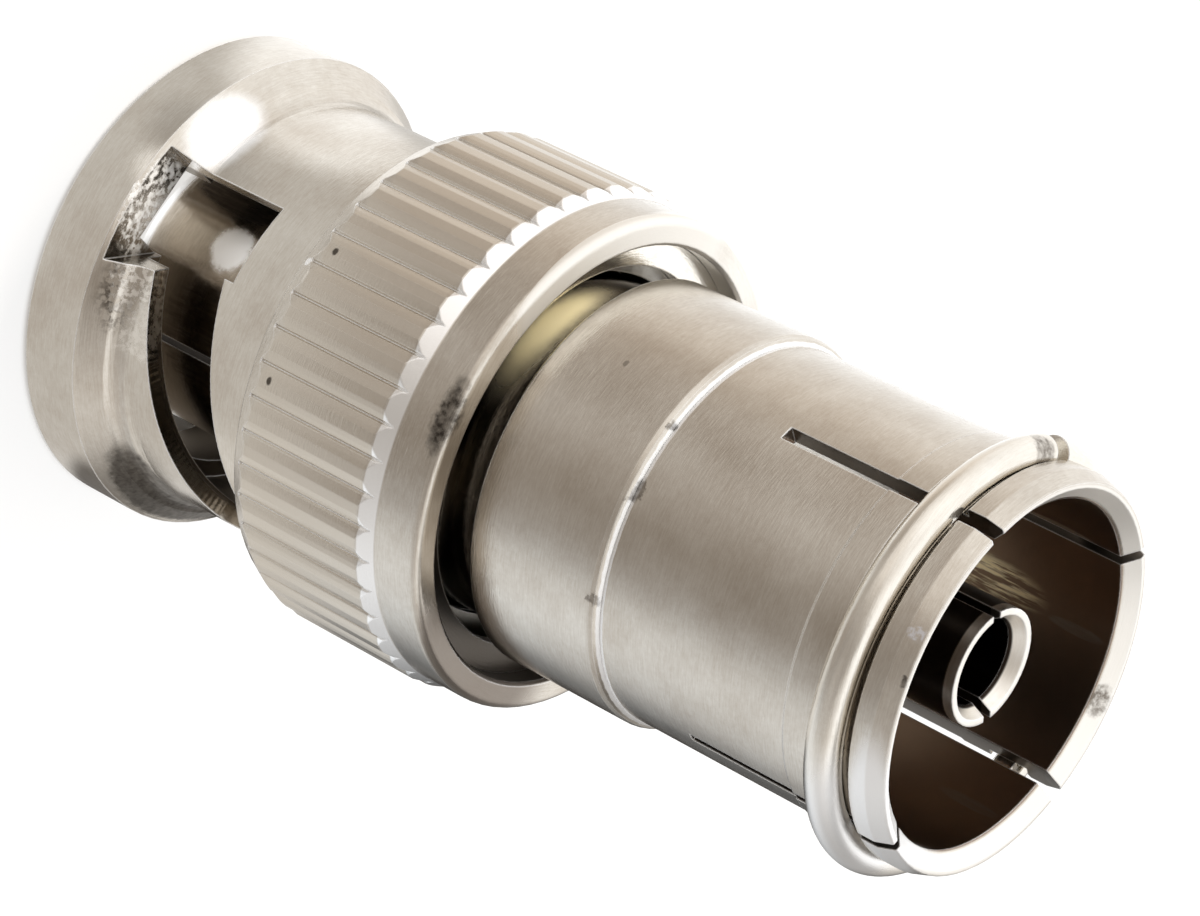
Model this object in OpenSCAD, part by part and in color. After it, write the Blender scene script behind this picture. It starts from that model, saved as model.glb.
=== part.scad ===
// Coaxial adapter: bayonet plug at the foot, 9.5 mm television socket at the top.
// Axis +Z, the coupling nut's front ring on z = 0, the socket mouth upwards.
// Lengths in millimetres, angles in degrees round +Z.

/* [Coupling nut] */
// Radius of the flange at the nut's front
flange_r = 6.95; // [6.75:0.05:7.2]
// Width of the flange's plain rim
flange_w = 2.0; // [1.8:0.05:2.2]
// Length of the cone and hollow that fall from the rim to the neck
cone_w = 1.25; // [1:0.05:1.4]
// Length of the hollow at the cone's foot
hollow_w = 0.7; // [0.6:0.05:0.8]
// Depth of that hollow over the neck
hollow_d = 0.42; // [0.3:0.02:0.5]
// Radius of the neck that carries the bayonet slots
neck_r = 5.98; // [5.85:0.01:6.2]
// Radius over the knurled lands
grip_r = 7.25; // [7.15:0.05:7.6]
// Where the knurled lands start
grip_z0 = 8.6; // [8.4:0.05:8.8]
// Where the knurled lands end
grip_z1 = 12.75; // [12.4:0.05:13]
// Radius of the smooth band behind the knurl
band_r = 7.04; // [6.95:0.01:7.1]
// Length of the whole nut
nut_len = 14.7; // [14.6:0.05:15]
// Bore that passes over the mating jack
nut_bore_r = 4.9; // [4.85:0.01:5]
// Radius of the relief inside the bayonet slots
relief_r = 5.4; // [5.2:0.05:5.5]
// Radius of the rear chamber
chamber_r = 6.25; // [6.2:0.01:6.4]
// Where the rear chamber starts
chamber_z = 10.25; // [10.2:0.05:10.4]
// Knurl grooves round the grip
knurl_n = 46; // [36:1:56]
// Width of one knurl groove where it meets the rounded land
knurl_w = 0.12; // [0.08:0.01:0.2]
// Depth of one knurl groove
knurl_d = 0.16; // [0.1:0.01:0.2]
// How far each land's rounded shoulder reaches from its groove
knurl_round = 0.36; // [0.2:0.01:0.42]

/* [Bayonet slots] */
// Width of the slot that takes the jack's stud
stud_slot_w = 2.4; // [2.2:0.02:2.5]
// Direction of the first slot's entry
entry_az = -101.5; // [-180:0.5:180]
// How far the entry opens out towards the ramp at the flange's rim
entry_flare = 1.5; // [0.5:0.1:1.8]
// Rear wall of the entry
entry_z1 = 5.72; // [5.4:0.02:6]
// Height of the ramp's centre line where it leaves the entry
ramp_z0 = 4.11; // [4.05:0.01:4.3]
// Height gained along the ramp
ramp_rise = 2.18; // [1.8:0.02:2.3]
// Turn from the entry to the stud's seat
ramp_sweep = 86; // [75:1:95]
// Radius of the stud channels inside the flange
channel_r = 5.66; // [5.5:0.01:5.8]

/* [Front contact] */
// Radius of the slotted contact sleeve
sleeve_r = 4.05; // [4:0.01:4.1]
// Radius of the sleeve's bore
sleeve_bore_r = 3.3; // [3.1:0.05:3.4]
// Setback of the sleeve's tip from the nut's front
sleeve_z0 = 0.3; // [0.2:0.05:1.2]
// Where the sleeve's four slots end
sleeve_slot_z = 6.6; // [5:0.1:7.5]
// Width of the sleeve's four slots
sleeve_slot_w = 0.2; // [0.15:0.05:0.6]
// Direction of the first of them
sleeve_slot_az = 33; // [0:1:90]
// Thickness of the sleeve's flange
sleeve_flange_t = 0.95; // [0.8:0.05:1]
// Radius of the front contact pin
pin_r = 0.675; // [0.65:0.005:0.7]
// Setback of the pin's tip from the nut's front
pin_z0 = 2.1; // [1.8:0.05:2.6]
// Front face of the plug insulator
plug_ins_z = 6.9; // [6.4:0.1:7.6]

/* [Rear socket] */
// Radius of the plain body behind the nut
body_r = 5.55; // [5.5:0.01:5.6]
// Gap between the nut's rear rim and the plain body
body_gap = 0.4; // [0.3:0.05:0.6]
// Length of the plain body, up to the bright ridge
body_len = 4.35; // [4:0.05:5]
// Length of the socket tube, from the ridge to the mouth
tube_len = 9.15; // [8.6:0.05:10]
// Radius of the slotted socket tube
tube_r = 5.34; // [5.3:0.01:5.4]
// Wall of the slotted socket tube
tube_wall = 0.56; // [0.5:0.01:0.6]
// Height of the socket's floor above the ridge
floor_rise = 1.65; // [1.3:0.05:2]
// Length of the four socket slots
slot_len = 6.55; // [5:0.05:7]
// Width of the first pair of socket slots
slot_w = 0.42; // [0.3:0.02:0.6]
// Direction of the saw cut that makes them
slot_az = 61.5; // [0:0.5:180]
// How far that cut misses the axis
slot_off = 0.4; // [0:0.05:0.8]
// Width of the second pair, which the clip ring squeezes shut
slot_w2 = 0.3; // [0.15:0.01:0.5]
// Direction of their cut
slot_az2 = 152.5; // [90:0.5:270]
// How far that cut misses the axis
slot_off2 = 0.65; // [0:0.05:0.8]
// Height of the mouth's lip over the tube
lip_rise = 0.18; // [0.1:0.01:0.25]
// Width of the mouth's lip
lip_w = 1.07; // [1:0.01:1.2]
// Radius of the centre contact
contact_r = 1.62; // [1.6:0.01:1.75]
// Bore of the centre contact
contact_bore_r = 1.2; // [1.18:0.01:1.25]
// Setback of the centre contact from the mouth
contact_set = 0.82; // [0.6:0.02:1]
// Wall left solid under the contact's bore
contact_root = 1.68; // [1.4:0.02:2]
// Solid length of the contact above the socket's floor, before its slit
slit_root = 1.48; // [1:0.02:2]
// Width of the slit through the centre contact
slit_w = 0.3; // [0.2:0.02:0.4]
// Direction of the slit through the centre contact
slit_az = 40; // [0:1:180]

/* [Clip ring] */
// Thickness of the clip ring's wire
clip_d = 0.95; // [0.9:0.01:1]
// Depth of the clip ring's groove below the tube
groove_d = 0.14; // [0.1:0.01:0.18]
// Lean of the clip ring in its groove
clip_tilt = 0.9; // [0:0.1:1]
// How far the clip ring sits off the axis
clip_off = 0.08; // [0:0.01:0.1]
// Direction of the clip ring's gap
clip_gap_az = -168; // [-180:1:180]
// Angle left open between the clip ring's ends
clip_gap = 6; // [4:1:30]

/* [Fits] */
// Axial play between the nut's shoulder and the sleeve's flange
nut_play = 0.1; // [0.05:0.01:0.15]
// Radial play between the flange and the nut's chamber
run_gap = 0.08; // [0.05:0.01:0.1]
// Radial play round the sleeve's hub
hub_gap = 0.06; // [0.03:0.01:0.1]
// Radial play of the washers inside the chamber
washer_gap = 0.15; // [0.1:0.01:0.2]
// Play between the clip ring and its groove
clip_gap_r = 0.02; // [0.01:0.01:0.03]

/* [Hidden] */
$fn = 96;
over = 1;            // how far a cut runs past what it cuts
ramp_in = 0.9;       // how far the ramp's cutter reaches inside the bore
slot_in = 1.5;       // how far the entry's cutter reaches inside the bore
body_z0 = nut_len + body_gap;
body_z1 = body_z0 + body_len;
total_len = body_z1 + tube_len;
socket_floor_z = body_z1 + floor_rise;
hub_r = 4.9;
tail_r = 4.0;
flange_z0 = chamber_z + nut_play;
flange_z1 = flange_z0 + sleeve_flange_t;
washer_t = 0.3;
retainer_t = 0.5;
retainer_set = 0.7;
retainer_z1 = nut_len - retainer_set;
retainer_z0 = retainer_z1 - retainer_t;
stack_z0 = flange_z1 + washer_t;
stack_h = retainer_z0 - stack_z0;
wave_t = 0.2;
wave_seat = 0.01;
wave_h = (stack_h - 3 * wave_seat) / 2;
gasket_t = 0.85;
gasket_wall = 0.2;
gasket_z0 = flange_z0 - gasket_t;
gasket_r = sleeve_r + gasket_wall;
tail_len = 1.85;
tail_gap = 0.1;
tail_z1 = body_z0 + tail_len;
step_z = tail_z1 + tail_gap;
socket_bore_r = tube_r - tube_wall;
spigot_set = 0.49;
spigot_r = tube_r - spigot_set;
ins_hub_r = 3.4;
ledge_t = 1;
ledge_z = socket_floor_z - ledge_t;
shell_z0 = step_z;
collar_r = 1.2;
stem_r = 0.6;
pin_body_r = 1.15;
pin_tail = 0.8;
pin_z1 = body_z0 + pin_tail;
stem_len = 2.9;
stem_z0 = pin_z1 - stem_len;
collar_len = 1.55;
barrel_z0 = step_z + collar_len;
ledge_set = 0.3;
sleeve_ledge_z = retainer_z0 - ledge_set;
sleeve_inner_r = 2.3;
ins_step = 0.5;
ins_boss_r = 2.1;
contact_z1 = total_len - contact_set;
slot_z0 = total_len - slot_len;
lip_z0 = total_len - lip_w;
lip_r = tube_r + lip_rise;
groove_r = tube_r - groove_d;
clip_seat = 0.1;
clip_r = groove_r + clip_d - clip_seat;
clip_lean = clip_r * sin(clip_tilt);
groove_w = clip_d + 2 * (clip_lean + clip_gap_r);
groove_z0 = lip_z0 - groove_w;
clip_z = groove_z0 + groove_w / 2;
clip_wire_r = clip_r - clip_d / 2;
shade_w = 0.95;
shade_z = groove_z0 - shade_w;
lead = 0.24;         // radial width of the centre contact's lead-in
lead_l = 0.4;        // depth of that lead-in
edge = 0.12;
rim_lip = 0.06;      // wall left between the flange's edge and the entry
flare_x = nut_bore_r - 0.15;
flare_y = entry_flare * (flange_r + flare_x / 8 - flare_x) / (flange_r - flare_x);
flare_lap = 0.5;     // how far the flare runs into the ramp
tip_l = 0.5;         // length of the taper on the sleeve's tip
tip_d = 0.25;        // fall of that taper
relief_z0 = flange_w + 0.3;
relief_z1 = grip_z0 - 0.3;
knurl_run = 0.15;
chamfer_l = 0.5;     // length of the chamfer behind the knurl
rim_round = 0.22;    // rounding of the nut's rear rim
mouth_cone = 0.42;   // radial width of the socket's lead-in
mouth_cone_l = 0.35; // depth of the socket's lead-in
nose_l = 0.48;       // length of the taper on the lip's outside
nose_d = 0.16;       // fall of that taper
ring_bore = 0.55;    // clear width between the hub and the retaining ring

// ---- helpers -------------------------------------------------------------

// A turned ring from z0 to z1 between radii ri and ro
module ring(ri, ro, z0, z1) {
    difference() {
        translate([0, 0, z0]) cylinder(r = ro, h = z1 - z0);
        translate([0, 0, z0 - over]) cylinder(r = ri, h = z1 - z0 + 2 * over);
    }
}

// Points of an arc from angle a0 to a1 in n steps
function arc(cx, cy, r, a0, a1, n) = [
    for (i = [0 : n]) let (a = a0 + (a1 - a0) * i / n) [cx + r * cos(a), cy + r * sin(a)]
];

// Points of the hollow sweep that falls from (x0, y0) to (x1, y1), upright at its end
function sweep(x0, y0, x1, y1, n) =
    let (t = 2 * atan((x0 - x1) / (y1 - y0)), r = (y1 - y0) / sin(t))
    [for (i = [0 : n]) let (a = t * (1 - i / n)) [x1 + r * (1 - cos(a)), y1 - r * sin(a)]];

// A bar across the axis, or past it by off, cutting two facing slots
module bar(az, w, r, z0, z1, off = 0) {
    rotate([0, 0, az])
        translate([-r, off - w / 2, z0]) cube([2 * r, w, z1 - z0]);
}

// Corner points of the ramp cutter, section by section round the nut
function ramp_pts(az, r1, r2, n) = [
    for (i = [0 : n])
        let (a = az + ramp_sweep * i / n, z = ramp_z0 + ramp_rise * i / n,
             h = stud_slot_w / 2)
        each [
            [r1 * cos(a), r1 * sin(a), z - h], [r2 * cos(a), r2 * sin(a), z - h],
            [r2 * cos(a), r2 * sin(a), z + h], [r1 * cos(a), r1 * sin(a), z + h]
        ]
];

// Faces that join the ramp cutter's sections and close its ends
function ramp_faces(n) = concat(
    [[0, 3, 2, 1], [4 * n, 4 * n + 1, 4 * n + 2, 4 * n + 3]],
    [
        for (i = [0 : n - 1], k = [0 : 3])
            let (a = 4 * i + k, b = 4 * i + (k + 1) % 4)
            each [[a, b, b + 4], [a, b + 4, a + 4]]
    ]
);

// The helical run of one bayonet slot, with the round seat at its end
module ramp(az) {
    n = 44;
    polyhedron(points = ramp_pts(az + 8, nut_bore_r - ramp_in, flange_r + over, n),
               faces = ramp_faces(n), convexity = 6);
    rotate([0, 0, az + 8 + ramp_sweep])
        translate([nut_bore_r - ramp_in, 0, ramp_z0 + ramp_rise]) rotate([0, 90, 0])
            cylinder(d = stud_slot_w + 0.1, h = flange_r - nut_bore_r + 2 * over,
                     $fn = 48);
}

// One bayonet slot: channel under the flange, open entry, ramp and seat
module bayonet_slot(az) {
    rotate([0, 0, az]) {
        translate([nut_bore_r - slot_in, -stud_slot_w / 2, -over])
            cube([channel_r - nut_bore_r + slot_in, stud_slot_w, flange_w + 2 * over]);
        translate([nut_bore_r - slot_in, -stud_slot_w / 2, flange_w + rim_lip])
            cube([flange_r - nut_bore_r + 2 * slot_in, stud_slot_w,
                  entry_z1 - flange_w - rim_lip]);
        translate([0, 0, flange_w + rim_lip])
            linear_extrude(ramp_z0 - stud_slot_w / 2 + flare_lap - flange_w - rim_lip)
                polygon([[flare_x, 0], [flare_x, stud_slot_w / 2],
                         [flange_r + flare_x / 8, stud_slot_w / 2 + flare_y],
                         [flange_r + flare_x / 8, 0]]);
    }
    ramp(az);
}

// One V groove of the knurl with the rounded shoulders of the two lands beside it,
// run out through both chamfers
module knurl_groove() {
    flank = [
        [knurl_d * 0.40, knurl_w / 2], [knurl_d * 0.72, knurl_round * 0.55],
        [knurl_d, knurl_round * 1.05], [knurl_d * 2, knurl_round * 1.2]
    ];
    translate([grip_r - knurl_d, 0, grip_z0 - knurl_run])
        linear_extrude(height = grip_z1 - grip_z0 + knurl_run + chamfer_l)
            polygon(concat([[0, 0]], flank,
                [for (i = [len(flank) - 1 : -1 : 0]) [flank[i][0], -flank[i][1]]]));
}

// A washer pressed into three waves, wave_h high overall
module wave_washer(z0, turn, ri, ro) {
    n = 72;
    amp = (wave_h - wave_t) / 2;
    pts = [
        for (i = [0 : n - 1])
            let (a = i * 360 / n, z = z0 + amp * (1 + cos(3 * (a - turn))))
            each [
                [ri * cos(a), ri * sin(a), z], [ro * cos(a), ro * sin(a), z],
                [ro * cos(a), ro * sin(a), z + wave_t],
                [ri * cos(a), ri * sin(a), z + wave_t]
            ]
    ];
    faces = [
        for (i = [0 : n - 1], k = [0 : 3])
            let (a = 4 * i + k, b = 4 * i + (k + 1) % 4,
                 c = (4 * (i + 1) + (k + 1) % 4) % (4 * n), d = (4 * (i + 1) + k) % (4 * n))
            each [[a, b, c], [a, c, d]]
    ];
    polyhedron(points = pts, faces = faces, convexity = 8);
}

// ---- parts ---------------------------------------------------------------

// Knurled bayonet nut, turned, milled and knurled as one piece
module coupling_nut() {
    color("#b3aba1") difference() {
        rotate_extrude() polygon(concat(
            [[nut_bore_r + 0.25, 0], [flange_r - edge, 0], [flange_r, edge],
             [flange_r, flange_w - 0.06]],
            [[flange_r - 0.06, flange_w]],
            sweep(neck_r + hollow_d, flange_w + cone_w - hollow_w, neck_r,
                  flange_w + cone_w, 6),
            [[neck_r, grip_z0 - 1.15], [neck_r + 0.1, grip_z0 - 0.95],
             [neck_r + 0.42, grip_z0 - 0.7], [band_r - 0.12, grip_z0 - 0.48],
             [band_r, grip_z0 - 0.42],
             [grip_r - 0.02, grip_z0], [grip_r, grip_z0 + 0.06], [grip_r, grip_z1],
             [band_r, grip_z1 + chamfer_l]],
            arc(band_r - rim_round, nut_len - rim_round, rim_round, 0, 90, 6),
            [[chamber_r + 0.1, nut_len],
             [chamber_r, nut_len - 0.1], [chamber_r, chamber_z],
             [nut_bore_r, chamber_z], [nut_bore_r, relief_z1],
             [relief_r, relief_z1 - 0.2], [relief_r, relief_z0], [nut_bore_r, relief_z0],
             [nut_bore_r, 0.25]]
        ));
        for (k = [0, 180]) bayonet_slot(entry_az + k);
        for (i = [0 : knurl_n - 1])
            rotate([0, 0, i * 360 / knurl_n]) knurl_groove();
    }
}

// Ring pressed into the nut's chamber behind the spring washers
module retaining_ring() {
    color("#cfcac2")
        ring(hub_r + ring_bore, chamber_r, retainer_z0, retainer_z1);
}

// Flat washer between the sleeve's flange and the spring washers
module thrust_washer() {
    color("#bdb7ae")
        ring(hub_r + hub_gap, chamber_r - washer_gap, flange_z1, flange_z1 + washer_t);
}

// Front one of the two waved spring washers
module wave_washer_front() {
    color("#8f8b84")
        wave_washer(stack_z0 + wave_seat, 0, hub_r + washer_gap, chamber_r - washer_gap - 0.05);
}

// Rear one, its troughs resting on the front one's crests
module wave_washer_rear() {
    color("#8f8b84")
        wave_washer(stack_z0 + 2 * wave_seat + wave_h, 60, hub_r + washer_gap,
                    chamber_r - washer_gap - 0.05);
}

// Front outer contact: four spring fingers, flange, hub and press tail
module contact_sleeve() {
    color("#c4beb4") difference() {
        rotate_extrude() polygon([
            [sleeve_bore_r + 0.12, sleeve_z0], [sleeve_r - tip_d, sleeve_z0],
            [sleeve_r, sleeve_z0 + tip_l], [sleeve_r, gasket_z0 - 0.1],
            [gasket_r, gasket_z0], [gasket_r, flange_z0],
            [chamber_r - run_gap, flange_z0], [chamber_r - run_gap, flange_z1],
            [hub_r, flange_z1], [hub_r, body_z0], [tail_r, body_z0],
            [tail_r, tail_z1], [sleeve_inner_r, tail_z1],
            [sleeve_inner_r, sleeve_ledge_z], [sleeve_bore_r, sleeve_ledge_z],
            [sleeve_bore_r, sleeve_z0 + 0.12]
        ]);
        for (a = [0, 90])
            bar(sleeve_slot_az + a, sleeve_slot_w, sleeve_r + over, sleeve_z0 - over, sleeve_slot_z);
    }
}

// Soft ring at the root of the sleeve, where the jack's rim closes
module sealing_gasket() {
    color("#c9c4bb")
        ring(gasket_r, nut_bore_r - washer_gap, gasket_z0, flange_z0);
}

// White insulator that carries the front pin
module plug_insulator() {
    color("#f1efe9") difference() {
        union() {
            translate([0, 0, plug_ins_z + ins_step])
                cylinder(r = sleeve_bore_r, h = sleeve_ledge_z - plug_ins_z - ins_step);
            translate([0, 0, plug_ins_z]) cylinder(r = ins_boss_r, h = 2 * ins_step);
        }
        translate([0, 0, plug_ins_z - over])
            cylinder(r = pin_body_r, h = sleeve_ledge_z - plug_ins_z + 2 * over);
    }
}

// Front contact pin with a rounded tip and a blind hole at its rear
module centre_pin() {
    color("#d8b45c") difference() {
        rotate_extrude() polygon([
            [0, pin_z0], [pin_r * 0.45, pin_z0 + 0.05], [pin_r * 0.8, pin_z0 + 0.22],
            [pin_r, pin_z0 + 0.6], [pin_r, plug_ins_z], [pin_body_r, plug_ins_z],
            [pin_body_r, pin_z1], [0, pin_z1]
        ]);
        translate([0, 0, stem_z0 - 0.1])
            cylinder(r = stem_r, h = pin_z1 - stem_z0 + over, $fn = 48);
    }
}

// Plain turned body that joins the two ends
module main_body() {
    color("#b3aba1") rotate_extrude() polygon([
        [tail_r, body_z0], [body_r - edge, body_z0], [body_r, body_z0 + edge],
        [body_r, body_z1 - 0.24], [body_r - 0.05, body_z1 - 0.12],
        [tube_r + 0.03, body_z1 - 0.02], [tube_r - 0.02, body_z1],
        [spigot_r, body_z1], [spigot_r, step_z], [tail_r, step_z]
    ]);
}

// Slotted socket tube with its clip groove, lip and press spigot
module socket_shell() {
    color("#b8b0a6") difference() {
        rotate_extrude() polygon([
            [ins_hub_r, shell_z0], [spigot_r, shell_z0], [spigot_r, body_z1],
            [tube_r, body_z1], [tube_r, shade_z], [tube_r + 0.06, shade_z + 0.06],
            [tube_r + 0.06, groove_z0], [groove_r, groove_z0],
            [groove_r, lip_z0], [lip_r - 0.08, lip_z0], [lip_r, lip_z0 + 0.08],
            [lip_r, total_len - nose_l], [lip_r - nose_d, total_len - 0.03],
            [lip_r - nose_d - 0.03, total_len],
            [socket_bore_r + mouth_cone, total_len],
            [socket_bore_r, total_len - mouth_cone_l],
            [socket_bore_r, ledge_z], [ins_hub_r, ledge_z]
        ]);
        bar(slot_az, slot_w, lip_r + over, slot_z0, total_len + over, slot_off);
        bar(slot_az2, slot_w2, lip_r + over, slot_z0, total_len + over, -slot_off2);
    }
}

// Flanged insulator on the socket's floor
module socket_insulator() {
    color("#ece9e2") difference() {
        union() {
            translate([0, 0, shell_z0]) cylinder(r = ins_hub_r, h = ledge_z - shell_z0);
            translate([0, 0, ledge_z])
                cylinder(r = socket_bore_r, h = socket_floor_z - ledge_z);
        }
        translate([0, 0, shell_z0 - over])
            cylinder(r = collar_r, h = barrel_z0 - shell_z0 + 2 * over);
        translate([0, 0, barrel_z0])
            cylinder(r = contact_r, h = socket_floor_z - barrel_z0 + over);
    }
}

// Slit centre contact with its collar and stem
module socket_contact() {
    color("#cbc3b4") difference() {
        union() {
            translate([0, 0, stem_z0])
                cylinder(r = stem_r, h = barrel_z0 - stem_z0, $fn = 48);
            translate([0, 0, pin_z1]) cylinder(r = collar_r, h = barrel_z0 - pin_z1);
            translate([0, 0, barrel_z0])
                cylinder(r = contact_r, h = contact_z1 - barrel_z0);
        }
        translate([0, 0, barrel_z0 + contact_root])
            cylinder(r = contact_bore_r, h = contact_z1 - barrel_z0);
        translate([0, 0, contact_z1 - lead_l])
            cylinder(r1 = contact_bore_r, r2 = contact_bore_r + lead, h = lead_l + 0.001);
        bar(slit_az, slit_w, contact_r + over, socket_floor_z + slit_root,
            contact_z1 + over);
    }
}

// Open spring ring that squeezes the socket's four fingers
module clip_ring() {
    color("#c2bab0") translate([0, 0, clip_z]) rotate([0, 0, clip_gap_az])
        rotate([0, -clip_tilt, 0]) difference() {
            translate([-clip_off, 0, 0]) rotate([0, 0, clip_gap / 2])
                rotate_extrude(angle = 360 - clip_gap)
                    translate([clip_wire_r, 0]) circle(d = clip_d, $fn = 48);
            translate([0, 0, -clip_d]) cylinder(r = groove_r + clip_gap_r, h = 2 * clip_d);
        }
}

coupling_nut();
retaining_ring();
thrust_washer();
wave_washer_front();
wave_washer_rear();
contact_sleeve();
sealing_gasket();
plug_insulator();
centre_pin();
main_body();
socket_shell();
socket_insulator();
socket_contact();
clip_ring();
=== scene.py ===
"""Looks for the coaxial adapter: bayonet plug at the foot, slotted television socket at the top.

Metres, axis +Z, the coupling nut's front ring on z = 0. Every piece of metal here is machined
brass with a plated skin, so the finishes are mostly about how each surface was cut and plated,
with painted highlights, painted reflections and painted shade on several of them.
"""
import math

import bpy
from mathutils import Matrix, Vector


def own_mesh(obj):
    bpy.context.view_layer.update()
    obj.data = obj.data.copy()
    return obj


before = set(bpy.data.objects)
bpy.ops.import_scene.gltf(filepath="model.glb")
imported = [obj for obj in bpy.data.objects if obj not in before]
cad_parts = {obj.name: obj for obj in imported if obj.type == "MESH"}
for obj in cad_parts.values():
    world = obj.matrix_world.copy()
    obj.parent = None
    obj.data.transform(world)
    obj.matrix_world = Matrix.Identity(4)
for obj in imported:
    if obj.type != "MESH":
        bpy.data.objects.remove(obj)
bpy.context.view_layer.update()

bpy.ops.object.select_all(action="DESELECT")

bpy.context.scene.view_settings.view_transform = "Standard"
TO_MM = (1000, 1000, 1000)  # from metres to the millimetres that patterns are placed in
NON_METAL_ROUGHNESS = 0.6  # a mark at least this rough is not metal: the painted white highlight on the nut's cone and the painted warm glow on the hub are such marks
RING_WIDTH = 0.045  # mm, between the finest tool rings


def srgb(code):
    """A written sRGB colour as the linear values a shader works in."""
    code = code.lstrip("#")
    parts = [int(code[i:i + 2], 16) / 255 for i in (0, 2, 4)]
    return tuple(c / 12.92 if c <= 0.04045 else ((c + 0.055) / 1.055) ** 2.4
                 for c in parts) + (1.0,)


def add(tree, kind, links=None, values=None, **settings):
    """Adds one node: settings are its properties, values its sockets, links its inputs."""
    node = tree.nodes.new(kind)
    for name, value in settings.items():
        setattr(node, name, value)
    for socket, value in (values or {}).items():
        node.inputs[socket].default_value = value
    for socket, source in (links or {}).items():
        tree.links.new(source, node.inputs[socket])
    return node


def ramp_colours(node, stops):
    """Writes the stops of a colour ramp, each a place and a colour."""
    elements = node.color_ramp.elements
    while len(elements) > 1:
        elements.remove(elements[-1])
    elements[0].position, elements[0].color = stops[0]
    for place, colour in stops[1:]:
        elements.new(place).color = colour


def new_finish(name):
    """An empty material with its tree."""
    material = bpy.data.materials.new(name)
    material.use_nodes = True
    tree = material.node_tree
    tree.nodes.clear()
    return material, tree


# ---- camera ---------------------------------------------------------------

def make_camera():
    """Looks from 33 degrees above the nut's plane, rolled so the axis runs from upper left to
    lower right."""
    data = bpy.data.cameras.new("view_camera")
    data.sensor_width = 36.0
    data.lens = 136.8
    data.clip_start, data.clip_end = 0.005, 2.0
    camera = bpy.data.objects.new("view_camera", data)
    right = Vector((-0.4526, 0.4787, 0.7524)).normalized()
    back = Vector((0.0021, -0.8431, 0.5377)).normalized()
    up = back.cross(right).normalized()
    right = up.cross(back)
    turn = Matrix((right, up, back)).transposed().to_4x4()
    camera.matrix_world = Matrix.Translation((0.0, -0.10178, 0.07955)) @ turn
    bpy.context.scene.collection.objects.link(camera)
    bpy.context.scene.camera = camera


make_camera()

# ---- studio ---------------------------------------------------------------

# Brightness of the surroundings as the metal mirrors them, in belts from below the horizon to
# overhead. They were fitted so that the metal's bands look right in the main view, so
# they are not a plain room and other views mirror them as they fall. Each stop is the compass
# angle in degrees from +X towards +Y, the brightness, and how warm it is.
ROOM = (
    (-0.545, (
        (-180, 0.90, 0.09), (-168, 0.66, 0.12), (-150, 0.56, 0.10), (-130, 0.48, 0.10),
        (-112, 0.57, 0.07), (-92, 0.52, 0.08), (-72, 0.41, 0.10), (-52, 0.44, 0.07),
        (-36, 0.60, 0.01), (-24, 0.86, -0.01), (-8, 1.00, -0.02), (10, 0.98, -0.03),
        (28, 0.72, -0.03), (46, 0.30, -0.03), (64, 0.10, -0.02), (86, 0.06, -0.02),
        (92, 1.45, -0.02), (112, 1.32, -0.01), (132, 1.15, 0.01), (152, 1.05, 0.05),
        (170, 0.98, 0.08), (180, 0.90, 0.09))),
    (-0.37, (
        (-180, 1.05, 0.05), (-163, 0.90, 0.06), (-145, 1.00, 0.05), (-127, 0.95, 0.05),
        (-108, 0.85, 0.06), (-90, 0.55, 0.07), (-71, 0.38, 0.08), (-53, 0.44, 0.06),
        (-35, 0.64, 0.03), (-17, 0.88, 0.00), (0, 0.95, -0.01), (28, 0.78, -0.01),
        (44, 0.40, -0.01), (60, 0.14, -0.01), (86, 0.10, -0.01), (94, 1.40, 0.00),
        (165, 1.20, 0.02), (180, 1.05, 0.05))),
    (0.087, (
        (-180, 1.20, 0.02), (-163, 1.20, 0.03), (-145, 1.30, 0.02), (-127, 1.15, 0.04),
        (-108, 1.00, 0.06), (-98, 0.75, 0.07), (-88, 0.52, 0.08), (-71, 0.42, 0.08),
        (-53, 0.55, 0.06), (-35, 0.62, 0.04), (-17, 0.78, 0.02), (0, 0.80, 0.01),
        (15, 0.55, 0.03), (30, 0.30, 0.04), (45, 0.30, 0.05), (60, 0.50, 0.04),
        (75, 0.70, 0.03), (88, 0.80, 0.02), (95, 1.40, 0.00), (165, 1.30, 0.00),
        (180, 1.10, 0.02))),
    (0.545, (
        (-180, 1.25, 0.01), (-160, 1.40, 0.01), (-145, 1.40, 0.01), (-133, 1.30, 0.01),
        (-112, 1.00, 0.04), (-100, 0.80, 0.06), (-90, 0.62, 0.07), (-68, 0.42, 0.08),
        (-47, 0.42, 0.07), (-27, 0.66, 0.05), (-10, 0.85, 0.04), (5, 1.00, 0.02),
        (14, 1.00, 0.02), (26, 0.50, 0.04), (37, 0.22, 0.05), (46, 0.09, 0.06),
        (56, 0.06, 0.08), (63, 0.15, 0.06), (70, 1.00, 0.02), (80, 1.35, 0.00),
        (165, 1.35, 0.00), (180, 1.25, 0.01))),
    (0.866, (
        (-180, 1.30, 0.01), (-165, 1.35, 0.01), (-145, 1.15, 0.02), (-125, 1.20, 0.02),
        (-112, 1.15, 0.03), (-100, 1.25, 0.02), (-88, 1.15, 0.03), (-76, 0.62, 0.06),
        (-60, 0.50, 0.06), (-45, 0.75, 0.05), (-12, 1.05, 0.02), (2, 1.30, 0.00),
        (20, 1.30, 0.00), (40, 0.80, 0.02), (60, 0.50, 0.04), (80, 1.00, 0.02),
        (100, 1.30, 0.00), (180, 1.30, 0.01))),
    (0.97, ((-180, 1.35, 0.0), (180, 1.35, 0.0))),
)


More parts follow.
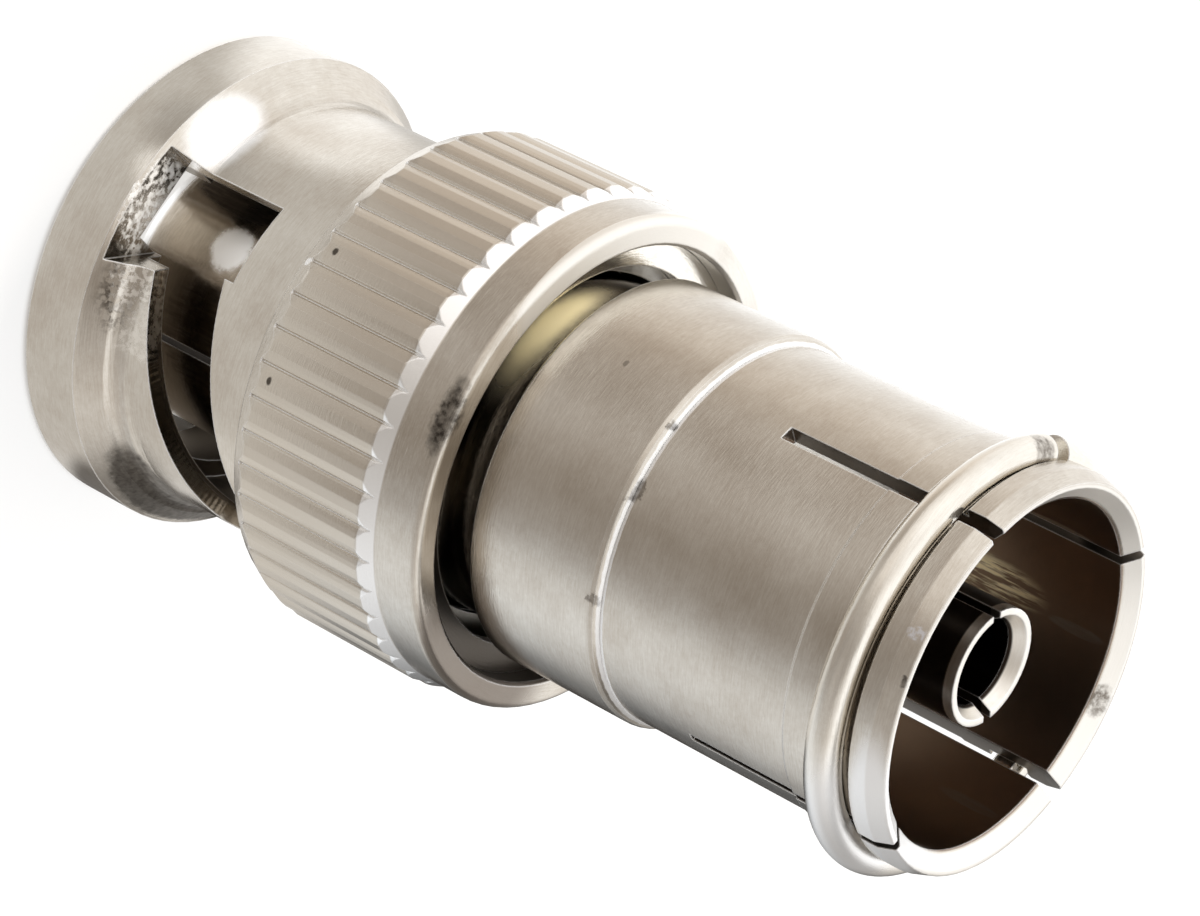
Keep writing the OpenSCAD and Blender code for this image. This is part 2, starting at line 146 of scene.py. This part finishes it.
def make_room():
    """Surroundings. The eye sees white and matt surfaces a soft white; mirror reflections, and
    so nearly all that the metal shows, see the fitted belts instead."""
    world = bpy.data.worlds.new("studio")
    bpy.context.scene.world = world
    world.use_nodes = True
    tree = world.node_tree
    tree.nodes.clear()
    way = add(tree, "ShaderNodeTexCoord").outputs["Generated"]
    part = add(tree, "ShaderNodeSeparateXYZ", {"Vector": way})
    angle = add(tree, "ShaderNodeMath", {0: part.outputs["Y"], 1: part.outputs["X"]},
                operation="ARCTAN2").outputs[0]
    turn = add(tree, "ShaderNodeMath", {0: angle},
               {1: 0.5 / math.pi, 2: 0.5}, operation="MULTIPLY_ADD").outputs[0]
    walls, below = None, None
    for height, belt in ROOM:
        node = add(tree, "ShaderNodeValToRGB", {"Fac": turn})
        ramp_colours(node, [((a + 180) / 360,
                             (v / 2, v * (1 - w) / 2, v * (1 - 2 * w) / 2, 1.0))
                            for a, v, w in belt])
        if walls is None:
            walls = node.outputs["Color"]
        else:
            share = add(tree, "ShaderNodeMapRange", {"Value": part.outputs["Z"]},
                        {"From Min": below, "From Max": height}).outputs["Result"]
            walls = add(tree, "ShaderNodeMix", {0: share, 6: walls, 7: node.outputs["Color"]},
                        data_type="RGBA").outputs[2]
        below = height
    mirror = add(tree, "ShaderNodeBackground", {"Color": walls}, {"Strength": 2.0})
    soft = add(tree, "ShaderNodeBackground", None,
               {"Color": srgb("#f4f2ee"), "Strength": 0.75})
    white = add(tree, "ShaderNodeBackground", None, {"Color": (1, 1, 1, 1), "Strength": 1.0})
    path = add(tree, "ShaderNodeLightPath")
    seen = add(tree, "ShaderNodeMixShader", {"Fac": path.outputs["Is Glossy Ray"],
               1: soft.outputs[0], 2: mirror.outputs[0]})
    seen = add(tree, "ShaderNodeMixShader", {"Fac": path.outputs["Is Camera Ray"],
               1: seen.outputs[0], 2: white.outputs[0]})
    add(tree, "ShaderNodeOutputWorld", {"Surface": seen.outputs[0]})


def zone(tree, at, centre, reach, soft):
    """1 inside a rounded region and 0 outside it. Lengths are in the units of at; a reach of 0
    leaves that direction unlimited. soft is the share of the reach over which it fades."""
    away = add(tree, "ShaderNodeVectorMath", {0: at}, {1: centre}, operation="SUBTRACT")
    away = add(tree, "ShaderNodeVectorMath", {0: away.outputs[0]},
               {1: [1 / r if r else 0.0 for r in reach]}, operation="MULTIPLY")
    far = add(tree, "ShaderNodeVectorMath", {0: away.outputs[0]}, operation="LENGTH")
    return add(tree, "ShaderNodeMapRange", {"Value": far.outputs["Value"]},
               {"From Min": 1 - soft, "From Max": 1.0, "To Min": 1.0, "To Max": 0.0},
               interpolation_type="SMOOTHSTEP").outputs["Result"]


def make_lamp(name, place, aim, size, power, colour):
    """A soft square lamp at a place, turned to face a point."""
    data = bpy.data.lights.new(name, "AREA")
    data.shape, data.size, data.energy = "SQUARE", size, power
    data.color = srgb(colour)[:3]
    lamp = bpy.data.objects.new(name, data)
    lamp.location = place
    lamp.rotation_mode = "QUATERNION"
    lamp.rotation_quaternion = (Vector(aim) - Vector(place)).to_track_quat("-Z", "Y")
    lamp.visible_glossy = False
    bpy.context.scene.collection.objects.link(lamp)


def make_floor():
    """A pale matt sheet. It shows white to the eye and keeps a soft shadow of the adapter."""
    bpy.ops.mesh.primitive_plane_add(size=1.2, location=(0, 0, -0.00002))
    floor = bpy.context.object
    floor.name = "floor_sheet"
    bpy.ops.object.transform_apply(location=True, rotation=True, scale=True)
    paper, tree = new_finish("matt_white_paper")
    lit = add(tree, "ShaderNodeBsdfDiffuse", None, {"Color": srgb("#f3f2f0")})
    glow = add(tree, "ShaderNodeEmission", None, {"Color": (1, 1, 1, 1), "Strength": 1.0})
    path = add(tree, "ShaderNodeLightPath")
    # inside the nut's ring no light reaches the paper, so it doesn't shine through the slots
    coord = add(tree, "ShaderNodeTexCoord").outputs["Object"]
    under = zone(tree, coord, (0, 0, 0), (0.0071, 0.0071, 0), 0.06)
    open_part = add(tree, "ShaderNodeMath", {1: under}, {0: 1.0}, operation="SUBTRACT")
    share = add(tree, "ShaderNodeMath", {0: path.outputs["Is Camera Ray"],
                1: open_part.outputs[0]}, operation="MULTIPLY")
    share = add(tree, "ShaderNodeMath", {0: share.outputs[0]}, {1: 0.8},
                operation="MULTIPLY")
    both = add(tree, "ShaderNodeMixShader", {"Fac": share.outputs[0], 1: lit.outputs[0],
               2: glow.outputs[0]})
    add(tree, "ShaderNodeOutputMaterial", {"Surface": both.outputs[0]})
    floor.data.materials.append(paper)
    floor.visible_glossy = False
    floor.select_set(False)


# How the paper near the nut looks to a mirror, fitted as the belts are: centre and
# reach in mm, fade, colour.
# the bright patches are painted light on the paper, the dark ones painted shadow of the adapter
PAPER = (
    ((15.5, -3.0, 0), (7.0, 8.0, 0), 0.9, "#dbdad8"),
    ((-10.0, -1.0, 0), (5.5, 6.5, 0), 0.5, "#ffffff"),
    ((-5.4, -8.0, 0), (2.6, 2.2, 0), 0.6, "#aeaba7"),
    ((-3.3, -9.4, 0), (1.5, 1.4, 0), 0.5, "#ffffff"),
    ((-1.6, -4.8, 0), (2.4, 0.9, 0), 0.4, "#ffffff"),
    ((7.7, 0.3, 0), (1.5, 2.8, 0), 0.5, "#6b6865"),
    ((5.0, 5.4, 0), (4.6, 4.0, 0), 0.25, "#2a2622"),
    ((9.0, 32.0, 0), (11.5, 21.5, 0), 0.25, "#3c3a38"),
)


def make_near_paper():
    """The paper close round the nut as the metal mirrors it, a painted reflection: bright to the
    left, dim in the nook beside the slot and beyond the low side, where painted shadow of the
    adapter lies on it. It glows over the level of white and nothing but a mirror reflection sees
    it."""
    bpy.ops.mesh.primitive_plane_add(size=0.12, location=(0.008, 0.015, -0.00001))
    card = bpy.context.object
    card.name = "near_paper"
    bpy.ops.object.transform_apply(location=True, rotation=True, scale=True)
    sheet, tree = new_finish("near_paper_painted_light_and_shadow")
    coord = add(tree, "ShaderNodeTexCoord").outputs["Object"]
    at = add(tree, "ShaderNodeVectorMath", {0: coord}, {1: TO_MM},
             operation="MULTIPLY").outputs[0]
    shown = zone(tree, at, (3.0, -3.0, 0), (20.5, 20.5, 0), 0.25)
    colour = add(tree, "ShaderNodeRGB")
    colour.outputs[0].default_value = srgb("#c9c7c4")
    colour = colour.outputs[0]
    for centre, reach, fade, shade in PAPER:
        patch = zone(tree, at, centre, reach, fade)
        colour = add(tree, "ShaderNodeMix", {0: patch, 6: colour}, {7: srgb(shade)},
                     data_type="RGBA").outputs[2]
        shown = add(tree, "ShaderNodeMath", {0: shown, 1: patch},
                    operation="MAXIMUM").outputs[0]
    clear = add(tree, "ShaderNodeBsdfTransparent")
    glow = add(tree, "ShaderNodeEmission", {"Color": colour}, {"Strength": 1.35})
    both = add(tree, "ShaderNodeMixShader", {"Fac": shown, 1: clear.outputs[0],
               2: glow.outputs[0]})
    add(tree, "ShaderNodeOutputMaterial", {"Surface": both.outputs[0]})
    card.data.materials.append(sheet)
    card.visible_camera = card.visible_diffuse = card.visible_shadow = False
    card.visible_transmission = False
    card.select_set(False)


make_room()
make_floor()
make_near_paper()
make_lamp("soft_key", (-0.30, 0.05, 0.17), (0, 0, 0.014), 0.16, 1.6, "#fff8ee")
make_lamp("soft_top", (0.02, 0.10, 0.34), (0, 0, 0.014), 0.20, 1.0, "#ffffff")

# ---- finishes -------------------------------------------------------------

def turned_metal(name, base, dull, rough, marks_and_painted_light=(), cuts=None):
    """Machined brass under bright nickel: fine tool rings run round the axis, the plating is
    a little uneven in tone, and handling and dirt have left marks. Some of the marks are painted
    highlights, painted reflections and painted shade that the surroundings don't give, and the
    edges carry a painted white line of highlight.

    Each mark is: round the axis (r, -, z) or in place (x, y, z); centre; reach; fade; colour;
    how much of it shows; its roughness; how ragged and how speckled it is, where a negative
    speckle is drawn out into streaks along the axis. cuts is the colour of walls that a saw
    left.
    """
    material, tree = new_finish(name)
    coord = add(tree, "ShaderNodeTexCoord")
    at = add(tree, "ShaderNodeVectorMath", {0: coord.outputs["Object"]},
             {1: TO_MM}, operation="MULTIPLY").outputs[0]
    flat = add(tree, "ShaderNodeVectorMath", {0: at}, {1: (1, 1, 0)}, operation="MULTIPLY")
    radius = add(tree, "ShaderNodeVectorMath", {0: flat.outputs[0]}, operation="LENGTH")
    part = add(tree, "ShaderNodeSeparateXYZ", {"Vector": at})
    ring_at = add(tree, "ShaderNodeCombineXYZ", {"X": radius.outputs["Value"],
                  "Z": part.outputs["Z"]}).outputs[0]
    # tool rings: a pattern that changes along the axis and the radius, hardly round the axis
    slow = add(tree, "ShaderNodeVectorMath", {0: flat.outputs[0]}, {1: (0.10, 0.10, 0)},
               operation="MULTIPLY")
    tool = add(tree, "ShaderNodeVectorMath", {0: ring_at, 1: slow.outputs[0]},
               operation="ADD").outputs[0]
    rings = add(tree, "ShaderNodeTexNoise", {"Vector": tool},
                {"Scale": 1.0 / RING_WIDTH, "Detail": 3.0, "Roughness": 0.65}).outputs["Fac"]
    broad = add(tree, "ShaderNodeTexNoise", {"Vector": tool},
                {"Scale": 2.2, "Detail": 2.0, "Roughness": 0.5}).outputs["Fac"]
    # plating tone and fine pitting
    cloud = add(tree, "ShaderNodeTexNoise", {"Vector": at},
                {"Scale": 0.42, "Detail": 4.0, "Roughness": 0.6}).outputs["Fac"]
    pits = add(tree, "ShaderNodeTexNoise", {"Vector": at},
               {"Scale": 7.0, "Detail": 4.0, "Roughness": 0.7}).outputs["Fac"]
    tone = add(tree, "ShaderNodeMath", {0: cloud}, {1: 0.9}, operation="MULTIPLY")
    tone = add(tree, "ShaderNodeMath", {0: rings, 2: tone.outputs[0]}, {1: 0.55},
               operation="MULTIPLY_ADD")
    tone = add(tree, "ShaderNodeMath", {0: pits, 2: tone.outputs[0]}, {1: 0.25},
               operation="MULTIPLY_ADD")
    tone = add(tree, "ShaderNodeMapRange", {"Value": tone.outputs[0]},
               {"From Min": 0.62, "From Max": 1.08}).outputs["Result"]
    colour = add(tree, "ShaderNodeMix", {0: tone}, {6: srgb(base), 7: srgb(dull)},
                 data_type="RGBA").outputs[2]
    mixed = add(tree, "ShaderNodeMath", {0: broad, 1: pits}, operation="ADD")
    roughness = add(tree, "ShaderNodeMapRange", {"Value": mixed.outputs[0]},
                    {"From Min": 0.6, "From Max": 1.4, "To Min": rough[0],
                     "To Max": rough[1]}).outputs["Result"]
    # ragged edges, speckle and streaks for the marks
    torn = add(tree, "ShaderNodeTexNoise", {"Vector": at},
               {"Scale": 3.2, "Detail": 4.0, "Roughness": 0.65}).outputs["Color"]
    torn = add(tree, "ShaderNodeVectorMath", {0: torn}, {1: (0.5, 0.5, 0.5)},
               operation="SUBTRACT").outputs[0]
    speck = add(tree, "ShaderNodeTexNoise", {"Vector": at},
                {"Scale": 5.5, "Detail": 3.0, "Roughness": 0.6}).outputs["Fac"]
    drawn = add(tree, "ShaderNodeVectorMath", {0: at}, {1: (1.6, 1.6, 0.16)},
                operation="MULTIPLY").outputs[0]
    streak = add(tree, "ShaderNodeTexNoise", {"Vector": drawn},
                 {"Scale": 5.0, "Detail": 3.0, "Roughness": 0.6}).outputs["Fac"]
    bare = None
    for space, centre, reach, fade, shade, amount, matt, ragged, speckled in marks_and_painted_light:
        where = ring_at if space == "round" else at
        if ragged:
            where = add(tree, "ShaderNodeVectorMath", {0: torn, 2: where},
                        {1: (ragged, ragged, ragged)}, operation="MULTIPLY_ADD").outputs[0]
        mask = zone(tree, where, centre, reach, fade)
        if speckled:
            grain = add(tree, "ShaderNodeMapRange",
                        {"Value": speck if speckled > 0 else streak},
                        {"From Min": 0.5 - 0.08 / abs(speckled),
                         "From Max": 0.5 + 0.08 / abs(speckled),
                         "To Min": 1.0 - min(abs(speckled), 1.0)}).outputs["Result"]
            mask = add(tree, "ShaderNodeMath", {0: mask, 1: grain},
                       operation="MULTIPLY").outputs[0]
        share = add(tree, "ShaderNodeMath", {0: mask}, {1: amount}, operation="MULTIPLY")
        colour = add(tree, "ShaderNodeMix", {0: share.outputs[0], 6: colour},
                     {7: srgb(shade)}, data_type="RGBA").outputs[2]
        roughness = add(tree, "ShaderNodeMix", {0: share.outputs[0], 2: roughness},
                        {3: matt}, data_type="FLOAT").outputs[0]
        if matt >= NON_METAL_ROUGHNESS:
            bare = add(tree, "ShaderNodeMath", {1: share.outputs[0]}, {0: 1.0},
                       operation="SUBTRACT").outputs[0]
    if cuts:
        # a saw's wall faces neither outwards nor along the axis
        out = add(tree, "ShaderNodeVectorMath", {0: flat.outputs[0]}, operation="NORMALIZE")
        out = add(tree, "ShaderNodeVectorMath", {0: out.outputs[0],
                  1: coord.outputs["Normal"]}, operation="DOT_PRODUCT")
        up = add(tree, "ShaderNodeSeparateXYZ", {"Vector": coord.outputs["Normal"]})
        lean = add(tree, "ShaderNodeCombineXYZ", {"X": out.outputs["Value"],
                   "Z": up.outputs["Z"]}).outputs[0]
        side = zone(tree, lean, (0, 0, 0), (0.5, 0, 0.5), 0.2)
        side = add(tree, "ShaderNodeMath", {0: side}, {1: 0.85}, operation="MULTIPLY")
        colour = add(tree, "ShaderNodeMix", {0: side.outputs[0], 6: colour},
                     {7: srgb(cuts)}, data_type="RGBA").outputs[2]
        roughness = add(tree, "ShaderNodeMix", {0: side.outputs[0], 2: roughness},
                        {3: 0.35}, data_type="FLOAT").outputs[0]
    # every edge is broken by the tool and by tumbling, 0.07 mm, and the bevel normal rounds it;
    # along it the colour is painted white with a rougher skin, a painted line of highlight
    edge = add(tree, "ShaderNodeBevel", None, {"Radius": 0.00007}, samples=6)
    face = add(tree, "ShaderNodeNewGeometry").outputs["Normal"]
    turned = add(tree, "ShaderNodeVectorMath", {0: edge.outputs[0], 1: face},
                 operation="DOT_PRODUCT").outputs["Value"]
    edge_highlight = add(tree, "ShaderNodeMapRange", {"Value": turned},
                 {"From Min": 0.985, "From Max": 0.90}).outputs["Result"]
    edge_highlight = add(tree, "ShaderNodeMath", {0: edge_highlight}, {1: 0.9}, operation="MULTIPLY")
    colour = add(tree, "ShaderNodeMix", {0: edge_highlight.outputs[0], 6: colour},
                 {7: srgb("#ffffff")}, data_type="RGBA").outputs[2]
    roughness = add(tree, "ShaderNodeMix", {0: edge_highlight.outputs[0], 2: roughness}, {3: 0.5},
                    data_type="FLOAT").outputs[0]
    bump = add(tree, "ShaderNodeBump", {"Height": rings, "Normal": edge.outputs[0]},
               {"Strength": 0.6, "Distance": 0.000006})
    bump = add(tree, "ShaderNodeBump", {"Height": pits, "Normal": bump.outputs[0]},
               {"Strength": 0.25, "Distance": 0.00001})
    # the tool rings spread a reflection along the axis, so the skin is anisotropic
    around = add(tree, "ShaderNodeVectorMath", {1: coord.outputs["Object"]}, {0: (0, 0, 1)},
                 operation="CROSS_PRODUCT").outputs[0]
    around = add(tree, "ShaderNodeVectorTransform", {"Vector": around},
                 vector_type="VECTOR", convert_from="OBJECT", convert_to="WORLD").outputs[0]
    shader = add(tree, "ShaderNodeBsdfPrincipled",
                 {"Base Color": colour, "Roughness": roughness, "Normal": bump.outputs[0],
                  "Tangent": around}, {"Anisotropic": 0.5, "Metallic": 1.0})
    if bare:
        tree.links.new(bare, shader.inputs["Metallic"])
    add(tree, "ShaderNodeOutputMaterial", {"Surface": shader.outputs[0]})
    return material


def plastic(name, base, shade, rough, milky=0.0):
    """A turned or moulded polymer: fine cutting rings, a soft sheen, slightly milky."""
    material, tree = new_finish(name)
    coord = add(tree, "ShaderNodeTexCoord").outputs["Object"]
    at = add(tree, "ShaderNodeVectorMath", {0: coord}, {1: TO_MM},
             operation="MULTIPLY").outputs[0]
    cloud = add(tree, "ShaderNodeTexNoise", {"Vector": at},
                {"Scale": 6.0, "Detail": 4.0, "Roughness": 0.6}).outputs["Fac"]
    colour = add(tree, "ShaderNodeMix", {0: cloud}, {6: srgb(base), 7: srgb(shade)},
                 data_type="RGBA").outputs[2]
    bump = add(tree, "ShaderNodeBump", {"Height": cloud},
               {"Strength": 0.2, "Distance": 0.00002})
    shader = add(tree, "ShaderNodeBsdfPrincipled",
                 {"Base Color": colour, "Normal": bump.outputs[0]},
                 {"Roughness": rough, "Subsurface Weight": milky,
                  "Subsurface Radius": (0.0004, 0.0004, 0.0004), "Subsurface Scale": 1.0})
    add(tree, "ShaderNodeOutputMaterial", {"Surface": shader.outputs[0]})
    return material


def dress(node, material):
    """Gives a CAD node its finish in every material slot."""
    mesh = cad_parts[node].data
    if not mesh.materials:
        mesh.materials.append(material)
    for i in range(len(mesh.materials)):
        mesh.materials[i] = material


# Nut: satin nickel on brass. The bore is painted dark as shade, the knurl is rough-rolled, and
# the chamfer behind it is painted white as a highlight. The cone beside the bayonet slot has a
# scuffed speckle whose dark and white parts are painted shade and painted highlight. The white
# patches on the neck, on the cone and on the rear rim to the left are painted highlights, and
# the dark ones on the cone's low side, round the rear opening and on the rear flat are painted
# shade.
nickel_nut = turned_metal(
    "nickel_plated_brass_nut", "#d9d4cb", "#bfb6aa", (0.10, 0.20), marks_and_painted_light=(
        ("round", (7.25, 0, 10.7), (0.35, 0, 2.15), 0.1, "#d2cabe", 0.9, 0.26, 0.0, 0.0),
        ("round", (7.18, 0, 13.02), (0.3, 0, 0.27), 0.2, "#ffffff", 0.95, 0.22, 0.0, 0.0),
        ("round", (0, 0, 0), (5.62, 0, 0), 0.03, "#756a5d", 0.85, 0.40, 0.0, 0.0),
        ("round", (6.2, 0, 14.3), (0.2, 0, 0.6), 0.2, "#3a322a", 0.95, 0.35, 0.0, 0.0),
        ("place", (-6.2, 2.5, 14.35), (4.5, 5.5, 0.4), 0.2, "#fbf8f2", 0.9, 0.30, 0.0, 0.0),
        ("place", (-5.7, -3.6, 14.75), (4.8, 4.6, 0.45), 0.15, "#fbf8f2", 0.95, 0.55, 0.0, 0.0),
        ("place", (6.2, -1.2, 14.75), (3.2, 4.4, 0.3), 0.4, "#7d736a", 0.85, 0.35, 0.0, 0.0),
        ("place", (0.6, -7.0, 14.42), (1.35, 0.5, 0.42), 0.5, "#2b241e", 0.95, 0.30, 0.5, 0.45),
        ("place", (-3.5, -5.2, 2.6), (1.7, 1.6, 0.95), 0.5, "#ffffff", 0.95, 0.20, 0.2, 0.0),
        ("place", (-0.9, -6.0, 2.05), (1.7, 1.2, 0.16), 0.3, "#ffffff", 0.95, 0.60, 0.5, 0.9),
        ("place", (1.4, -6.2, 2.8), (1.8, 1.0, 0.85), 0.5, "#4a4036", 0.9, 0.30, 0.6, 1.4),
        ("place", (1.1, -6.2, 2.9), (1.6, 1.0, 0.7), 0.5, "#fffaf2", 0.8, 0.34, 1.4, 1.4),
        ("place", (2.0, -5.4, 3.7), (1.6, 0.45, 1.5), 0.3, "#f1ece4", 0.8, 0.50, 0.6, 0.9),
        ("place", (6.9, 0.2, 2.75), (2.3, 5.6, 0.76), 0.2, "#3c352e", 0.94, 0.36, 0.3, 0.3),
        ("place", (-1.36, -7.0, 8.35), (0.16, 0.3, 0.12), 0.4, "#ffffff", 0.9, 0.40, 0.1, 0.0),
        ("place", (-1.9, -6.9, 9.0), (0.14, 0.3, 0.11), 0.4, "#3c352e", 0.9, 0.40, 0.1, 0.0),
        ("place", (1.85, -6.9, 9.0), (0.14, 0.3, 0.11), 0.4, "#3c352e", 0.9, 0.40, 0.1, 0.0),
    ))
# Body: the same plating over longer turned faces. The socket's bore is painted brown and dark as
# shade, the walls of the saw cuts are darker, and a few pale and golden streaks are painted
# light on its far wall. The white lines at the rear edge and at the step, the white at the mouth
# and round the lip's low side, and the small blue-white spot on the lip are painted highlights.
nickel_body = turned_metal(
    "nickel_plated_brass_body", "#d9d4cb", "#bfb6aa", (0.12, 0.22), cuts="#5a524a", marks_and_painted_light=(
        ("round", (0, 0, 0), (4.83, 0, 0), 0.008, "#87715f", 0.98, 0.30, 0.0, 0.0),
        ("place", (-2.1, 4.3, 24.3), (0.8, 0.6, 2.1), 0.5, "#fff0c8", 0.95, 0.30, 0.1, -1.1),
        ("place", (-1.85, 4.4, 27.2), (0.17, 0.4, 1.0), 0.3, "#9c9184", 0.8, 0.35, 0.05, -0.6),
        ("place", (3.35, 3.45, 27.2), (0.17, 0.4, 1.1), 0.3, "#8d8275", 0.8, 0.35, 0.05, -0.6),
        ("place", (-4.0, 2.7, 26.3), (0.14, 0.3, 1.4), 0.3, "#cfc8bc", 0.8, 0.35, 0.05, 0.0),
        ("round", (5.1, 0, 28.4), (0.3, 0, 0.3), 0.2, "#f9f6f0", 0.9, 0.45, 0.0, 0.0),
        ("place", (-0.5, 4.98, 28.4), (0.55, 0.5, 0.3), 0.5, "#6b6258", 0.9, 0.35, 0.4, 0.7),
        ("round", (5.4, 0, 19.46), (0.5, 0, 0.09), 0.3, "#ffffff", 0.9, 0.45, 0.04, 0.0),
        ("round", (5.52, 0, 14.83), (0.14, 0, 0.12), 0.4, "#ffffff", 0.9, 0.45, 0.05, 0.0),
        ("place", (-1.76, -5.2, 19.4), (0.2, 0.3, 0.14), 0.5, "#4a4038", 0.8, 0.40, 0.45, 0.5),
        ("place", (0.08, -5.4, 19.5), (0.42, 0.3, 0.2), 0.4, "#5a5047", 0.8, 0.40, 0.6, 0.5),
        ("place", (3.0, -4.7, 19.3), (0.22, 0.4, 0.2), 0.5, "#4a4038", 0.7, 0.40, 0.6, 0.5),
        ("place", (-2.68, -4.86, 17.14), (0.13, 0.2, 0.09), 0.4, "#6b6258", 0.6, 0.4, 0.2, 0.0),
        ("place", (4.6, -2.4, 28.2), (3.4, 3.6, 0.8), 0.4, "#ffffff", 0.9, 0.45, 0.0, 0.0),
        ("place", (0.09, -5.43, 28.35), (0.2, 0.2, 0.3), 0.4, "#eef2ff", 0.6, 0.30, 0.4, 0.9),
        ("place", (1.29, -5.26, 28.5), (0.2, 0.3, 0.16), 0.4, "#2c231d", 0.9, 0.40, 0.5, 0.4),
    ))
# Front contact: a darker plating than the nut's, painted as shade deep in the nut, with a
# painted highlight at the tip and brown streaks behind that are painted reflections. The white
# spot and the yellow film on the hub, where it shows behind the nut, are a painted glint and a
# painted warm glow.
sleeve_light_shade = turned_metal(
    "contact_sleeve_painted_light_and_shade", "#b5ac9f", "#958b7e", (0.10, 0.20), cuts="#4a4138", marks_and_painted_light=(
        ("place", (-2.1, -3.5, 3.0), (0.62, 0.5, 2.1), 0.3, "#2f2721", 0.92, 0.35, 0.2, -0.35),
        ("place", (1.8, -3.6, 4.0), (2.2, 1.5, 2.0), 0.3, "#6b5c4c", 0.6, 0.30, 0.2, -0.9),
        ("round", (3.9, 0, 0.2), (0.5, 0, 0.95), 0.2, "#ffffff", 0.95, 0.34, 0.0, 0.0),
        ("place", (-0.8, -4.0, 3.6), (0.8, 0.6, 0.75), 0.35, "#ffffff", 0.95, 0.4, 0.35, 0.0),
        ("place", (-2.9, -4.0, 14.0), (3.3, 2.6, 0.9), 0.75, "#fff2c4", 0.95, 0.60, 0.2, 0.0),
    ))
# Socket contact: painted near black as shade down in the socket and inside its bore, and near
# white as a highlight on its rim.
socket_contact_light_shade = turned_metal(
    "socket_contact_painted_light_and_shade", "#fbf8f2", "#ece6dc", (0.30, 0.45), cuts="#4a4138", marks_and_painted_light=(
        ("round", (0, 0, 20.0), (0, 0, 7.5), 0.008, "#2b231d", 0.97, 0.32, 0.0, 0.0),
        ("round", (0, 0, 24.0), (1.26, 0, 0), 0.03, "#2b231d", 0.97, 0.32, 0.0, 0.0),
    ))
# Clip ring: the white patch on its low side is a painted highlight.
nickel_bright = turned_metal("bright_nickel_ring", "#ece8e0", "#dcd6cc", (0.08, 0.18), marks_and_painted_light=(
    ("place", (5.0, -2.0, 27.4), (3.2, 3.6, 1.2), 0.5, "#ffffff", 0.95, 0.42, 0.0, 0.0),
    ("place", (-5.3, -2.0, 27.5), (0.7, 0.45, 0.7), 0.4, "#5a5047", 0.8, 0.40, 0.5, 0.6),
))
# Retaining ring: painted near white as a highlight, and dark on the +X side as painted shade.
ring_light_shade = turned_metal("retaining_ring_painted_light_and_shade", "#f8f5ee", "#ebe4d6", (0.10, 0.20), marks_and_painted_light=(
    ("place", (4.8, 0.0, 13.9), (5.4, 7.5, 1.0), 0.4, "#3a322a", 0.95, 0.35, 0.0, 0.0),
))
dull_washer = turned_metal("dull_nickel_washer", "#8d8479", "#6f675d", (0.22, 0.36))
spring_steel = turned_metal("spring_steel_strip", "#a8a49d", "#8e8a83", (0.25, 0.4))
gold = turned_metal("gold_plated_brass_pin", "#f0cf86", "#d9b062", (0.14, 0.26))
ptfe = plastic("turned_fluoropolymer", "#f1efe9", "#e3e0d8", 0.42, 0.25)
silicone = plastic("moulded_silicone_rubber", "#d9d4ca", "#c8c2b7", 0.55)

for piece, finish in (
        ("coupling_nut", nickel_nut), ("retaining_ring", ring_light_shade),
        ("thrust_washer", dull_washer), ("wave_washer_front", spring_steel),
        ("wave_washer_rear", spring_steel), ("contact_sleeve", sleeve_light_shade),
        ("sealing_gasket", silicone), ("plug_insulator", ptfe), ("centre_pin", gold),
        ("main_body", nickel_body), ("socket_shell", nickel_body),
        ("socket_insulator", ptfe), ("socket_contact", socket_contact_light_shade),
        ("clip_ring", nickel_bright)):
    dress(piece, finish)

# the two wave springs, thin metal and not cloth, get meshes of their own
for washer in ("wave_washer_front", "wave_washer_rear"):
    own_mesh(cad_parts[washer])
